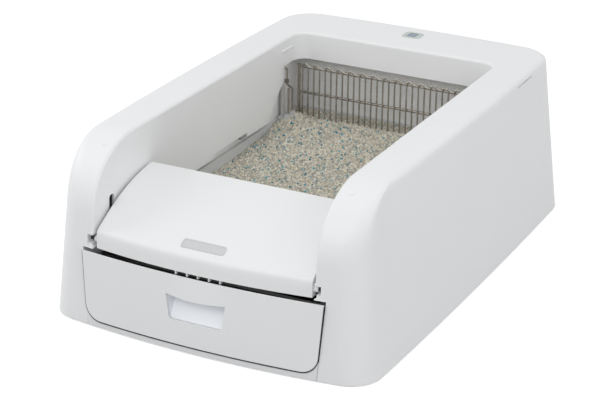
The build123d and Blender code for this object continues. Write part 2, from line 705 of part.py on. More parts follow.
def front_bracket():
    """Right-hand post for the guide rod's front end and the idler's pin."""
    x = (rod_x - rod_seat, bracket_x[1])
    post = block(x, (idler_y - 8, idler_y + 8), (plate_z, bracket_top))
    post -= rod((rod_x, rod_front, rod_z), (rod_x, 0, rod_z), rod_radius)
    return post - rod((idler_pin_from, idler_y, shaft_z), (FAR, idler_y, shaft_z), shaft_radius)


def rear_bracket():
    """Right-hand post for the guide rod's rear end and the cross shaft's bush."""
    post = block(bracket_x, (bracket_y, shaft_y + 10), (plate_z, bracket_top))
    post += block((rod_x - rod_seat, bracket_x[1]), (bracket_y - 2, rod_rear + 4), (plate_z, bracket_top))
    post -= rod((rod_x, 0, rod_z), (rod_x, rod_rear, rod_z), rod_radius)
    return post - rod((0, shaft_y, shaft_z), (FAR, shaft_y, shaft_z), bush_radius)


def tray_form(inset, low, high):
    """Tapered tray volume between two heights, its walls moved inwards by inset."""
    faces = []
    for z in (low, high):
        share = (z - plate_top - tray_pad) / (tray_rim_z - plate_top - tray_pad)
        half = tray_half_floor + (tray_half_top - tray_half_floor) * share - inset
        rear = tray_rear_floor + (tray_rear_top - tray_rear_floor) * share - inset
        front = tray_front_floor + (tray_front_top - tray_front_floor) * share + inset
        faces.append(rounded_rect((-half, half), (front, rear), z, tray_corner - inset).face().outer_wire())
    return Solid.make_loft(faces, ruled=True)


def litter_tray():
    """Deep tray with a sloping front wall and a rim all round."""
    floor = plate_top + tray_pad
    outer = tray_form(-tray_wall, floor, tray_rim_z)
    rim = extrude(rounded_rect((-rim_reach, rim_reach), (tray_front_top - 6, liner_y - litter_gap),
                               tray_rim_z - rim_thick, tray_corner), rim_thick)
    return outer + rim - tray_form(0.0, floor + tray_wall, tray_rim_z + 1)


def litter_bed():
    """Litter as one soft block that rises towards the rake, with the trench that the tines stand in."""
    low = plate_top + tray_pad + tray_wall + litter_gap
    bed = tray_form(litter_gap, low, litter_heap)
    start, end = litter_slope
    bed -= side_prism([(-length, litter_top), (start, litter_top), (end, litter_heap), (end, height),
                       (-length, height)], (-side, side))
    half = post_x + 2 * post_radius
    trench = block((-half, half), (tine_y - 2 * tine_radius, rake_y + 2 * post_radius),
                   (tine_tip - 2, height))
    return bed - trench


def rear_liner():
    """Wall behind the rake, round both rear corners and forward outside the skirt, with shallow ribs."""
    top = deck_under - litter_gap
    outline = rounded_rect((-liner_half, liner_half), (-liner_y, liner_y), liner_low, liner_corner)
    outer = extrude(offset(outline, liner_thick), top - liner_low)
    shape = outer - extrude(outline, top - liner_low)
    shape &= block((-side, side), (liner_front, length), (0, height))
    shape -= block((-side, side), (-length, liner_side_end), (liner_side_top, height))
    flat = liner_half - liner_corner
    shape += block((-flat, flat), (liner_y, liner_y + liner_thick), (plate_top, top))
    count = int(flat // liner_rib_pitch)
    for i in range(-count, count + 1):
        x = i * liner_rib_pitch
        shape += block((x - liner_rib / 2, x + liner_rib / 2), (liner_y - liner_rib_depth, liner_y + 1),
                       (tray_rim_z + 1, top))
    return shape


def tray_latch():
    """Right-hand latch on the back of the skirt, seen in its notch, that keeps the tray down."""
    y_from, y_to, low, high = latch
    x = opening_half + wall
    shape = block((opening_half + 0.5, x), (y_from, y_to), (low, high))
    return shape + block((x, x + wall), (y_from, y_to), (low, skirt_notch[2] + 2 * latch_grip))


# ---- Rake -------------------------------------------------------------------------------------------
def wire_along(path, radius):
    """Round wire along a path."""
    start = path @ 0
    return sweep(Plane(start, z_dir=path % 0) * Circle(radius), path=path)


def rake_tines():
    """Hairpins side by side: two straight legs and a round bend at the top."""
    pins = []
    for i in range(tine_pairs):
        middle = (i - (tine_pairs - 1) / 2) * 2 * tine_pitch
        left, right = middle - tine_pitch / 2, middle + tine_pitch / 2
        leg = Line((left, tine_y, tine_tip), (left, tine_y, tine_top))
        bend = ThreePointArc((left, tine_y, tine_top), (middle, tine_y, tine_top + tine_pitch / 2),
                             (right, tine_y, tine_top))
        other = Line((right, tine_y, tine_top), (right, tine_y, tine_tip))
        pins.append(wire_along(Wire([leg, bend, other]), tine_radius))
    return pins


def rake_hook():
    """Right-hand bent wire ahead of the comb, which meets the hood and lifts it."""
    points = [(hook_x, y, z) for y, z in hook_route]
    last = points[-1]
    upper = FilletPolyline(*points, radius=3.0)
    far = (hook_x, last[1] - hook_loop, last[2])
    bend = ThreePointArc(last, (hook_x, last[1] - hook_loop / 2, last[2] - hook_loop / 2), far)
    rise = Line(far, (hook_x, far[1], hook_end_z))
    return wire_along(Wire([*upper.edges(), bend, rise]), hook_radius)


def lift_pad():
    """Dark sleeve on the hook where it meets the hood."""
    y = hook_route[1][0]
    pad = rod((hook_x, y, pad_z), (hook_x, y, pad_z + pad_length), pad_radius)
    return pad - rod((hook_x, y, pad_z - 1), (hook_x, y, pad_z + pad_length + 1), hook_radius)


def carriage():
    """Right-hand slider on the guide rod, its belt clamp, and its arm over the liner and under the skirt."""
    shape = block(carriage_x, carriage_y, carriage_z)
    clamp_y = (carriage_y[0] + clamp_set_back, carriage_y[1] - clamp_set_back)
    clamp_x = (carriage_x[1] - 1, belt_x + belt_width / 2 + 2)
    over = shaft_z + pulley_radius + belt_thick + belt_slack
    under = shaft_z + pulley_radius - belt_slack
    shape += block(clamp_x, clamp_y, (over, arm_high))
    shape += block(clamp_x, clamp_y, (under - 4, under))
    shape += block((belt_x + belt_width / 2 + belt_slack, clamp_x[1]), clamp_y, (under - 4, arm_high))
    shape += block(carriage_x, carriage_y, (carriage_z[1] - 1, arm_high))
    shape += block((hook_x - 3, riser_x[1]), arm_y, (arm_low, arm_high))
    shape += block(riser_x, riser_y, (arm_low, bridge_z[1]))
    shape += block((riser_x[0], drop_x[1]), riser_y, bridge_z)
    shape += block(drop_x, riser_y, (arm_high - 1, bridge_z[1]))
    shape += block((hook_x - 3, hook_x + 3), arm_y, (arm_low, lug_top))
    shape -= rod((rod_x, -FAR, rod_z), (rod_x, FAR, rod_z), rod_radius + running)
    return shape - rake_hook() - side_wire()


def side_wire():
    """Right-hand wire from the arm's lug to the end post."""
    return rod((hook_x, arm_y[1] - 4, side_wire_z), (hook_x, rake_y, side_wire_z), hook_radius)


def rake_end_post():
    """Right-hand upright that carries the bars."""
    return rod((post_x, rake_y, post_low), (post_x, rake_y, post_top), post_radius)


def rake_bar(z):
    """Cross bar between the end posts."""
    reach = post_x
    bar = rod((-reach, rake_y, z), (reach, rake_y, z), bar_radius)
    for post in both_sides(rake_end_post()):
        bar -= post
    return bar


# ---- Drive ------------------------------------------------------------------------------------------
def gear(teeth, bore, phase):
    """Spur gear along X at the origin, teeth as trapezia. phase turns it, in pitches."""
    pitch_radius = gear_module * teeth / 2
    tip, root = pitch_radius + gear_module * 0.9, pitch_radius - gear_module * 1.25
    step = 2 * math.pi / teeth
    points = []
    for i in range(teeth):
        centre = (i + phase) * step
        for radius, share in ((root, 1.6), (tip, 0.5), (tip, -0.5), (root, -1.6)):
            angle = centre - share * tooth_share * step / 2
            points.append((0, radius * math.cos(angle), radius * math.sin(angle)))
    face = Face(Wire.make_polygon(points, close=True))
    solid = extrude(face, amount=gear_width, dir=(1, 0, 0))
    return Pos(-gear_width / 2, 0, 0) * (solid - rod((-1, 0, 0), (gear_width + 1, 0, 0), bore))


def pulley(y, bore):
    """Right-hand belt pulley with two flanges."""
    low, high = belt_x - belt_width / 2 - pulley_flange_thick, belt_x + belt_width / 2 + pulley_flange_thick
    shape = rod((low, y, shaft_z), (high, y, shaft_z), pulley_radius - running)
    shape += rod((low, y, shaft_z), (low + pulley_flange_thick - running, y, shaft_z), pulley_flange)
    shape += rod((high - pulley_flange_thick + running, y, shaft_z), (high, y, shaft_z), pulley_flange)
    return shape - rod((low - 1, y, shaft_z), (high + 1, y, shaft_z), bore)


def belt():
    """Right-hand belt: a closed loop round the drive pulley and the idler."""
    x = belt_x - belt_width / 2
    loops = []
    for radius in (pulley_radius + belt_thick, pulley_radius):
        top, low = shaft_z + radius, shaft_z - radius
        rear = ThreePointArc((x, shaft_y, top), (x, shaft_y + radius, shaft_z), (x, shaft_y, low))
        front = ThreePointArc((x, idler_y, low), (x, idler_y - radius, shaft_z), (x, idler_y, top))
        wire = Wire([rear, Line(rear @ 1, front @ 0), front, Line(front @ 1, rear @ 0)])
        loops.append(extrude(Face(wire), amount=belt_width, dir=(1, 0, 0)))
    return loops[0] - loops[1]


def shaft_bush():
    """Right-hand bush in the rear bracket."""
    x = (bracket_x[0] - 1, bracket_x[1] + 1)
    outer = rod((x[0], shaft_y, shaft_z), (x[1], shaft_y, shaft_z), bush_radius)
    return outer - rod((x[0] - 1, shaft_y, shaft_z), (x[1] + 1, shaft_y, shaft_z), shaft_radius + running)


def idler_pin():
    """Right-hand pin that the idler turns on."""
    return rod((idler_pin_from, idler_y, shaft_z), (shaft_reach, idler_y, shaft_z), shaft_radius)


def gearmotor():
    """Motor can with its front boss."""
    start = motor_plate_x[1]
    can = rod((start, shaft_y, pinion_z), (start + motor_length, shaft_y, pinion_z), motor_radius)
    can += rod((start + motor_length, shaft_y, pinion_z), (start + motor_length + 4, shaft_y, pinion_z),
               motor_radius * 0.4)
    can += rod((motor_plate_x[0], shaft_y, pinion_z), (start, shaft_y, pinion_z), motor_radius * 0.4)
    end = start + motor_length / 2
    return can - rod((0, shaft_y, pinion_z), (end, shaft_y, pinion_z), shaft_radius + running)


def motor_pinion():
    """Small gear on the motor's shaft."""
    shape = Pos(0, shaft_y, pinion_z) * gear(pinion_teeth, shaft_radius / 2, 0.0)
    stem_end = motor_plate_x[1] + motor_length / 2
    return shape + rod((-gear_width / 2, shaft_y, pinion_z), (stem_end, shaft_y, pinion_z), shaft_radius)


def drive_gear():
    """Large gear on the cross shaft."""
    return Pos(0, shaft_y, shaft_z) * gear(gear_teeth, shaft_radius, 0.5)


def motor_bracket():
    """Plate on the base that holds the motor and steadies the shaft."""
    plate_part = block(motor_plate_x, motor_plate_y, (plate_top, motor_plate_top))
    foot = block((motor_plate_x[0], motor_plate_x[1] + 25), motor_plate_y, (plate_top, plate_top + wall))
    shape = plate_part + foot
    shape -= rod((0, shaft_y, pinion_z), (FAR, shaft_y, pinion_z), motor_radius * 0.4)
    return shape - rod((0, shaft_y, shaft_z), (FAR, shaft_y, shaft_z), shaft_radius + running)


# ---- Controls and small pieces ----------------------------------------------------------------------
def button_bezel():
    """Rounded-square ring on the deck with a sleeve through it."""
    x, y = bezel_size
    flange = extrude(Pos(0, button_y, height) * RectangleRounded(x, y, 6), bezel_proud)
    sleeve = block((-bezel_hole[0] / 2, bezel_hole[0] / 2),
                   (button_y - bezel_hole[1] / 2, button_y + bezel_hole[1] / 2), (deck_under - 2, height))
    hole = Pos(0, button_y, 0) * RectangleRounded(button_size[0] + 2 * button_gap,
                                                   button_size[1] + 2 * button_gap, 2.5)
    return flange + sleeve - extrude(hole, FAR / 4)


def control_button():
    """Key cap and its stem down to the switch."""
    low = deck_under - 2
    cap = Pos(0, button_y, low) * RectangleRounded(*button_size, 2.2)
    shape = extrude(cap, height + button_proud - low)
    stem_end = board_z + board_size[2] + switch_size[2] + button_travel + switch_gap
    return shape + rod((0, button_y, stem_end), (0, button_y, low), 2.5)


def control_board():
    """Circuit board on two posts under the deck."""
    x, y, thick = board_size
    board = block((-x / 2, x / 2), (button_y - y / 2 + 4, button_y + y / 2 + 4), (board_z, board_z + thick))
    posts = [rod((sign * (x / 2 - 5), button_y + 12, board_z + thick),
                 (sign * (x / 2 - 5), button_y + 12, deck_under), 2.5) for sign in (-1, 1)]
    for post in posts:
        board += post
    return board


def tact_switch():
    """Switch body on the board."""
    x, y, tall = switch_size
    top = board_z + board_size[2]
    return block((-x / 2, x / 2), (button_y - y / 2, button_y + y / 2), (top, top + tall))


def dc_jack():
    """Round power inlet in the rear wall."""
    out = rear_at(jack_x, jack_z) + 1.0
    barrel = rod((jack_x, out - 18, jack_z), (jack_x, out, jack_z), jack_radius)
    nut = rod((jack_x, out - 2 * wall - 3, jack_z), (jack_x, out - 2 * wall, jack_z), jack_flange)
    return barrel + nut - rod((jack_x, out - 12, jack_z), (jack_x, out + 1, jack_z), jack_bore)


def limit_switch(y):
    """Small switch on its post beside the belt."""
    x, long, tall = limit_size
    return block((limit_x - x / 2, limit_x + x / 2), (y - long / 2, y + long / 2), (limit_z, limit_z + tall))


def housing_screw(x, y):
    """Screw from below through the base plate into the housing's post."""
    head = rod((x, y, plate_z - 2), (x, y, plate_z), screw_head)
    return head + rod((x, y, plate_z), (x, y, plate_top + 18), screw_radius)


# ---- Write every node -------------------------------------------------------------------------------
save("upper_housing", upper_housing())
save("base_chassis", base_chassis())
save("litter_tray", litter_tray())
save("litter_bed", litter_bed())
save("rear_liner", rear_liner())
save_pair("tray_latch", tray_latch())
save("waste_hood", waste_hood())
save("badge_plate", badge_plate())
save("hood_hinge_pins", *both_sides(rod((hinge_pin_from, hinge_y, hinge_z), (hinge_pin_to, hinge_y, hinge_z),
                                        hinge_pin_radius)))
save("drawer_front", drawer_front())
save("handle_cup", handle_cup())
save("drawer_bin", drawer_bin())
save("bag_clamp_frame", bag_clamp_frame())
save_pair("drawer_runner", drawer_runner())
save("rake_top_bar", rake_bar(top_bar_z))
save("rake_mid_bar", rake_bar(mid_bar_z))
save("rake_end_posts", *both_sides(rake_end_post()))
save("rake_tines", *rake_tines())
save_pair("rake_hook", rake_hook())
save_pair("rake_side_wire", side_wire() - rake_end_post())
save_pair("lift_pad", lift_pad())
save_pair("carriage", carriage())
save_pair("guide_rod", rod((rod_x, rod_front, rod_z), (rod_x, rod_rear, rod_z), rod_radius))
save_pair("drive_belt", belt())
save_pair("drive_pulley", pulley(shaft_y, shaft_radius))
save_pair("idler_pulley", pulley(idler_y, shaft_radius + running))
save_pair("idler_pin", idler_pin())
save("drive_shaft", rod((-shaft_reach, shaft_y, shaft_z), (shaft_reach, shaft_y, shaft_z), shaft_radius))
save("shaft_bushes", *both_sides(shaft_bush()))
save("drive_gear", drive_gear())
save("motor_pinion", motor_pinion())
save("gearmotor", gearmotor())
save("motor_bracket", motor_bracket())
save("button_bezel", button_bezel())
save("control_button", control_button())
save("control_board", control_board())
save("tact_switch", tact_switch())
save("dc_jack", dc_jack())
for place, y in limit_places.items():
    save(f"limit_switch_{place}", limit_switch(y))
save("rubber_feet", *[piece for x, y in foot_places for piece in
                      both_sides(rod((x, y, 0), (x, y, foot_height), foot_radius))])
save("housing_screws", *[housing_screw(x * screw_x, y * screw_y) for x in (-1, 1) for y in (-1, 1)])
save("hole_plugs", *[twin for piece in plug(0.0) for twin in both_sides(piece)])
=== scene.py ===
# %% [markdown]
# # An automatic raking litter box, dressed for a studio photograph
# A imported model of the box is loaded as a fixed frame. It holds every piece at its real size, in metres,
# with the floor at z = 0 and the waste drawer facing -Y. This lesson adds what a camera sees: the finish
# of each piece, a dark strip of painted shade round the drawer, bright beads of painted highlight on the
# rake's bars, the loose litter, light and a camera.

# %% Load the frame
import json
import math

import bpy
import numpy as np
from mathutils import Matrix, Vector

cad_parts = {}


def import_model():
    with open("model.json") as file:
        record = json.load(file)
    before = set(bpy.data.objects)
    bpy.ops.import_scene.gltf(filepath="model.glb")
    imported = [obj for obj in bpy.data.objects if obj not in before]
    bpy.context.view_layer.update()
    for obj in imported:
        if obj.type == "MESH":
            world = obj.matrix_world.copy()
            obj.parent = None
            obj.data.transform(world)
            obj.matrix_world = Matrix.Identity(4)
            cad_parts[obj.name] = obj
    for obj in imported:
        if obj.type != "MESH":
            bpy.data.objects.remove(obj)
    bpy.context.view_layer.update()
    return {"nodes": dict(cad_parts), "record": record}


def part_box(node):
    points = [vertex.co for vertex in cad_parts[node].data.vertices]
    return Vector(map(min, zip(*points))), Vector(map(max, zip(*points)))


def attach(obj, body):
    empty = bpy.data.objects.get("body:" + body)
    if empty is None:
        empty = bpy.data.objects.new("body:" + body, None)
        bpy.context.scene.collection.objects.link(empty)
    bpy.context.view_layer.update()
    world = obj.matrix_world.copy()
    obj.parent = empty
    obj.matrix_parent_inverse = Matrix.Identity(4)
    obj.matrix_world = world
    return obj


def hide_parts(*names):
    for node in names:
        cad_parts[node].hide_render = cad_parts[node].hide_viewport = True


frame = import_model()
MM = 0.001

# %% [markdown]
# ## Helpers for meshes
# Every new surface is a grid of points worked out as whole arrays. `mesh_piece` puts an array of points
# and an array of faces into a mesh, and `grid_faces` joins the neighbours of a grid with four-sided faces.
# It can also close the grid in one direction, as a ring needs.

# %% Mesh helpers
def mesh_piece(name, points, faces, smooth=True):
    """Object at the origin from an (n, 3) array of points and an (m, k) array of corner numbers."""
    mesh = bpy.data.meshes.new(name)
    mesh.from_pydata(points.tolist(), [], faces.tolist())
    mesh.polygons.foreach_set("use_smooth", np.full(len(faces), smooth))
    mesh.update()
    piece = bpy.data.objects.new(name, mesh)
    bpy.context.scene.collection.objects.link(piece)
    return piece


def grid_faces(rows, columns, close_columns=False):
    """Corner numbers of the quads between the points of a rows x columns grid."""
    i = np.arange(rows - 1)[:, None]
    j = np.arange(columns if close_columns else columns - 1)[None, :]
    k = (j + 1) % columns
    quads = np.stack(np.broadcast_arrays(i * columns + j, i * columns + k,
                                         (i + 1) * columns + k, (i + 1) * columns + j), -1)
    return quads.reshape(-1, 4)


print("a grid of 3 x 4 points has", len(grid_faces(3, 4)), "faces")


# %% [markdown]
# ## Which way faces point
# Faces have to point out of a body, or light and the print file read it inside out. A body's signed
# volume tells whether they do, and it is quicker and surer than looking at each face in the viewport.

# %% Outward faces
def outward(points, faces):
    """The faces of a closed body, turned over where its signed volume is below zero.

    The volume is the sum over all faces, cut into triangles a b c, of a . (b x c) / 6.
    """
    a = points[faces[:, 0]]
    volume = 0.0
    for k in range(1, faces.shape[1] - 1):
        b, c = points[faces[:, k]], points[faces[:, k + 1]]
        volume += np.einsum("ij,ij->", a, np.cross(b, c)) / 6
    return faces if volume > 0 else faces[:, ::-1]


# %% [markdown]
# ## Small node helpers
# A shader is a tree of nodes. These functions add one node each and hand back the socket to read, so
# that the materials below read as a short list of steps.

# %% Node helpers
def noise(tree, vector, scale, detail=2.0):
    """Noise texture node reading a vector socket. Scale is in cells per metre."""
    node = tree.nodes.new("ShaderNodeTexNoise")
    node.inputs["Scale"].default_value = scale
    node.inputs["Detail"].default_value = detail
    tree.links.new(vector, node.inputs["Vector"])
    return node


def mapped(tree, value, low, high):
    """Value from 0.3..0.7 spread over low..high, clamped."""
    node = tree.nodes.new("ShaderNodeMapRange")
    node.inputs["From Min"].default_value = 0.3
    node.inputs["From Max"].default_value = 0.7
    node.inputs["To Min"].default_value = low
    node.inputs["To Max"].default_value = high
    tree.links.new(value, node.inputs["Value"])
    return node.outputs["Result"]


def grey(tree, value):
    """Colour whose red, green and blue are all the same number."""
    shade = tree.nodes.new("ShaderNodeCombineColor")
    for channel in ("Red", "Green", "Blue"):
        tree.links.new(value, shade.inputs[channel])
    return shade.outputs["Color"]


def multiplied(tree, colour, by, strength):
    """Colour times another one, in the given strength from 0 to 1."""
    mix = tree.nodes.new("ShaderNodeMix")
    mix.data_type, mix.blend_type = "RGBA", "MULTIPLY"
    mix.inputs["Factor"].default_value = strength
    tree.links.new(colour, mix.inputs["A"])
    tree.links.new(by, mix.inputs["B"])
    return mix.outputs["Result"]


# %% [markdown]
# ## The skin of a moulding
# Moulded plastic is never quite even. The fine spark-eroded grain of its mould breaks up the gloss, and
# broad soft waves change its tone by a percent or two. Both could be painted as pictures, but noise on
# Object coordinates needs no picture and stays on the piece when it moves. It is a node group, built
# once, and every plastic uses it with its own colour, roughness and grain.

# %% Empty group
def new_group(name, inputs, outputs):
    """Empty shader group with float inputs {name: default} and outputs {name: socket type}."""
    group = bpy.data.node_groups.new(name, "ShaderNodeTree")
    for label, default in inputs.items():
        kind = "NodeSocketColor" if isinstance(default, tuple) else "NodeSocketFloat"
        socket = group.interface.new_socket(label, in_out="INPUT", socket_type=kind)
        socket.default_value = (*default, 1.0) if isinstance(default, tuple) else default
    for label, kind in outputs.items():
        group.interface.new_socket(label, in_out="OUTPUT", socket_type=kind)
    return group, group.nodes.new("NodeGroupInput"), group.nodes.new("NodeGroupOutput")


# %% Group for moulded plastic
BROAD_WAVES, SPARK_GRAIN = 9.0, 2600.0         # cells per metre of the two noises
DARKEST_WAVE = 0.985                           # share of the colour left in the darkest wave
GLOSS_CHANGE = 0.03
GRAIN_DEPTH = 0.06 * MM


def build_moulding_group():
    """Colour, roughness and bump of a moulded plastic skin."""
    group, inside, outside = new_group(
        "moulded_skin",
        {"Colour": (0.8, 0.8, 0.8), "Roughness": 0.35, "Grain": 0.1},
        {"Colour": "NodeSocketColor", "Roughness": "NodeSocketFloat", "Normal": "NodeSocketVector"})
    place = group.nodes.new("ShaderNodeTexCoord").outputs["Object"]
    broad = noise(group, place, BROAD_WAVES, 1.0)
    fine = noise(group, place, SPARK_GRAIN, 2.0)
    shade = grey(group, mapped(group, broad.outputs["Fac"], DARKEST_WAVE, 1.0))
    tone = multiplied(group, inside.outputs["Colour"], shade, 1.0)
    group.links.new(tone, outside.inputs["Colour"])
    rough = group.nodes.new("ShaderNodeMath")
    rough.operation = "ADD"
    group.links.new(inside.outputs["Roughness"], rough.inputs[0])
    group.links.new(mapped(group, fine.outputs["Fac"], -GLOSS_CHANGE, GLOSS_CHANGE), rough.inputs[1])
    group.links.new(rough.outputs[0], outside.inputs["Roughness"])
    bump = group.nodes.new("ShaderNodeBump")
    bump.inputs["Distance"].default_value = GRAIN_DEPTH
    group.links.new(inside.outputs["Grain"], bump.inputs["Strength"])
    group.links.new(fine.outputs["Fac"], bump.inputs["Height"])
    group.links.new(bump.outputs["Normal"], outside.inputs["Normal"])
    return group


MOULDING = build_moulding_group()
print("group", MOULDING.name, "with", len(MOULDING.nodes), "nodes")

# %% [markdown]
# ## Materials
# Each plastic and rubber, and the dark strip of painted shade, is a Principled shader fed by the moulding
# group.
# Each metal is a Principled shader whose tone and roughness change a little along the piece, as on plated
# wire. The Principled shader stays in the material itself, where an exporter can find it.

# %% Material makers
PLASTIC_IOR, COAT_ROUGHNESS = 1.48, 0.15
RAMP_ENDS = (0.3, 0.65)                        # noise values where a metal is darkest and brightest
METAL_CHANGE = (-0.05, 0.08)                   # how far its roughness goes down and up


def new_material(name):
    """Material with its tree and its Principled node."""
    material = bpy.data.materials.new(name)
    material.use_nodes = True
    tree = material.node_tree
    return material, tree, tree.nodes["Principled BSDF"]


def plastic(name, colour, roughness, grain, coat=0.0):
    """Moulded plastic or rubber: the moulding group's colour, roughness and normal in a Principled shader."""
    material, tree, shader = new_material(name)
    skin = tree.nodes.new("ShaderNodeGroup")
    skin.node_tree = MOULDING
    skin.inputs["Colour"].default_value = (*colour, 1.0)
    skin.inputs["Roughness"].default_value = roughness
    skin.inputs["Grain"].default_value = grain
    tree.links.new(skin.outputs["Colour"], shader.inputs["Base Color"])
    tree.links.new(skin.outputs["Roughness"], shader.inputs["Roughness"])
    tree.links.new(skin.outputs["Normal"], shader.inputs["Normal"])
    shader.inputs["IOR"].default_value = PLASTIC_IOR
    shader.inputs["Coat Weight"].default_value = coat
    shader.inputs["Coat Roughness"].default_value = COAT_ROUGHNESS
    return material


def metal(name, colour, roughness, streak=(60.0, 60.0, 900.0), darkest=0.8):
    """Bare metal: noise with streak cells per metre along x, y and z changes its tone and its roughness."""
    material, tree, shader = new_material(name)
    place = tree.nodes.new("ShaderNodeTexCoord").outputs["Object"]
    stretch = tree.nodes.new("ShaderNodeMapping")
    stretch.inputs["Scale"].default_value = streak
    tree.links.new(place, stretch.inputs["Vector"])
    lines = noise(tree, stretch.outputs["Vector"], 1.0, 3.0)
    ramp = tree.nodes.new("ShaderNodeValToRGB")
    ramp.color_ramp.elements[0].color = (*(darkest * c for c in colour), 1.0)
    ramp.color_ramp.elements[1].color = (*colour, 1.0)
    ramp.color_ramp.elements[0].position, ramp.color_ramp.elements[1].position = RAMP_ENDS
    tree.links.new(lines.outputs["Fac"], ramp.inputs["Fac"])
    tree.links.new(ramp.outputs["Color"], shader.inputs["Base Color"])
    least, most = (roughness + change for change in METAL_CHANGE)
    tree.links.new(mapped(tree, lines.outputs["Fac"], least, most), shader.inputs["Roughness"])
    shader.inputs["Metallic"].default_value = 1.0
    return material


# %% [markdown]
# ## Finishes of the box
# A colour here is the share of light that the surface sends back, as a linear value. White mouldings stay
# near 0.85, because nothing real sends back all the light. The handle's cup is a little bluer, and it is also
# whiter than the drawer it sits in, as painted light that lifts the shade in its recess.

# %% Finishes of the shell, the drawer and the tray
FINISH = {
    "white_shell": plastic("white_shell", (0.850, 0.860, 0.870), 0.42, 0.12),
    "base_plastic": plastic("base_plastic", (0.830, 0.840, 0.850), 0.45, 0.15),
    "tray_plastic": plastic("tray_plastic", (0.68, 0.69, 0.69), 0.45, 0.2),
    "litter": plastic("litter_bulk", (0.55, 0.52, 0.45), 0.9, 0.4),
    # whiter than the other mouldings: painted light that lifts the shade under the rear deck
    "baffle_plastic": plastic("baffle_plastic", (0.90, 0.90, 0.905), 0.45, 0.15),
    "hood_plastic": plastic("hood_plastic", (0.845, 0.855, 0.862), 0.40, 0.12),
    "steel_wire": metal("steel_wire", (0.50, 0.47, 0.425), 0.24, (35.0, 35.0, 35.0), 0.9),
    "bright_steel": metal("bright_steel", (0.62, 0.62, 0.63), 0.2, (60.0, 900.0, 900.0)),
    "badge_silver": plastic("badge_silver", (0.62, 0.63, 0.64), 0.35, 0.1),
    "drawer_plastic": plastic("drawer_plastic", (0.845, 0.855, 0.865), 0.42, 0.12),
    # bluish white, made whiter than the drawer as painted light in the handle's recess
    "cup_plastic": plastic("cup_plastic", (0.92, 0.94, 0.975), 0.25, 0.08, 0.3),
    "bin_plastic": plastic("bin_plastic", (0.018, 0.018, 0.019), 0.5, 0.2),
}
print("finishes of the box", len(FINISH))

# %% [markdown]
# ## Finishes of the drive and of small pieces
# Most of these are seen only when the drawer, the hood or the rake has moved, or in a picture from below.

# %% Finishes of the drive and of small pieces
FINISH.update({
    "dark_plastic": plastic("dark_plastic", (0.03, 0.03, 0.032), 0.45, 0.3),
    "carriage_grey": plastic("carriage_grey", (0.66, 0.66, 0.665), 0.45, 0.2),
    "belt_rubber": plastic("belt_rubber", (0.015, 0.015, 0.015), 0.7, 0.6),
    "foot_rubber": plastic("foot_rubber", (0.05, 0.05, 0.052), 0.75, 0.6),
    "pulley_plastic": plastic("pulley_plastic", (0.70, 0.68, 0.62), 0.4, 0.1),
    "bush_bronze": metal("bush_bronze", (0.50, 0.33, 0.16), 0.35),
    "motor_metal": metal("motor_metal", (0.45, 0.46, 0.48), 0.35),
    "bezel_plastic": plastic("bezel_plastic", (0.55, 0.60, 0.57), 0.4, 0.1),
    "button_plastic": plastic("button_plastic", (0.17, 0.24, 0.32), 0.25, 0.05, 0.4),
    "board_green": plastic("board_green", (0.02, 0.14, 0.06), 0.4, 0.1),
    "jack_black": plastic("jack_black", (0.02, 0.02, 0.022), 0.4, 0.1),
    "latch_grey": plastic("latch_grey", (0.33, 0.335, 0.34), 0.5, 0.2),
    # near black: painted shade in the gap round the drawer front
    "gap_shade_dark": plastic("gap_shade_dark", (0.03, 0.03, 0.031), 0.9, 0.5),
    "pad_brown": plastic("pad_brown", (0.13, 0.12, 0.105), 0.5, 0.3),
    # brighter copy of the wire's metal, for the beads that paint highlights on the rake's bars
    "bar_highlight_metal": metal("bar_highlight_metal", (0.93, 0.91, 0.87), 0.30, (35.0, 35.0, 35.0), 0.9),
})
print("finishes in all", len(FINISH))

# %% [markdown]
# ## Dress the frame
# The frame's record says which slot each piece takes its finish from. The rake's two pads and the tray's
# two latches are paler in the picture than the other small dark pieces, so they get finishes of their own.

# %% Dress the frame
FINISH_OF = {row["node"]: row["material_slot"] for row in frame["record"]["subparts"]}
FINISH_OF.update({"lift_pad_left": "pad_brown", "lift_pad_right": "pad_brown",
                  "tray_latch_left": "latch_grey", "tray_latch_right": "latch_grey"})
for node_name, node_piece in frame["nodes"].items():
    node_piece.data.materials.clear()
    node_piece.data.materials.append(FINISH[FINISH_OF[node_name]])
print("dressed", len(frame["nodes"]), "nodes")

# %% [markdown]
# ## Painted shade round the drawer front
# A thin dark strip in the gap between the drawer front and its bay is painted shade: it draws the fine dark
# line of shade round the drawer. The gap follows a slanting outline with round lower corners. The strip
# could be a curve with a bevel, but its front has to follow the bowed face, so its section is carried
# along the outline by numpy.

# %% Outline of the drawer
DRAWER_TOP, DRAWER_LOW = 97.6 * MM, 10.6 * MM  # z of the outline's ends
HALF_LOW, HALF_HIGH = 156.7 * MM, 163.6 * MM   # its half width at z 0 and at the top
CORNER_RADIUS = 22.0 * MM
ARC_POINTS, SIDE_POINTS, BOTTOM_POINTS = 14, 24, 40


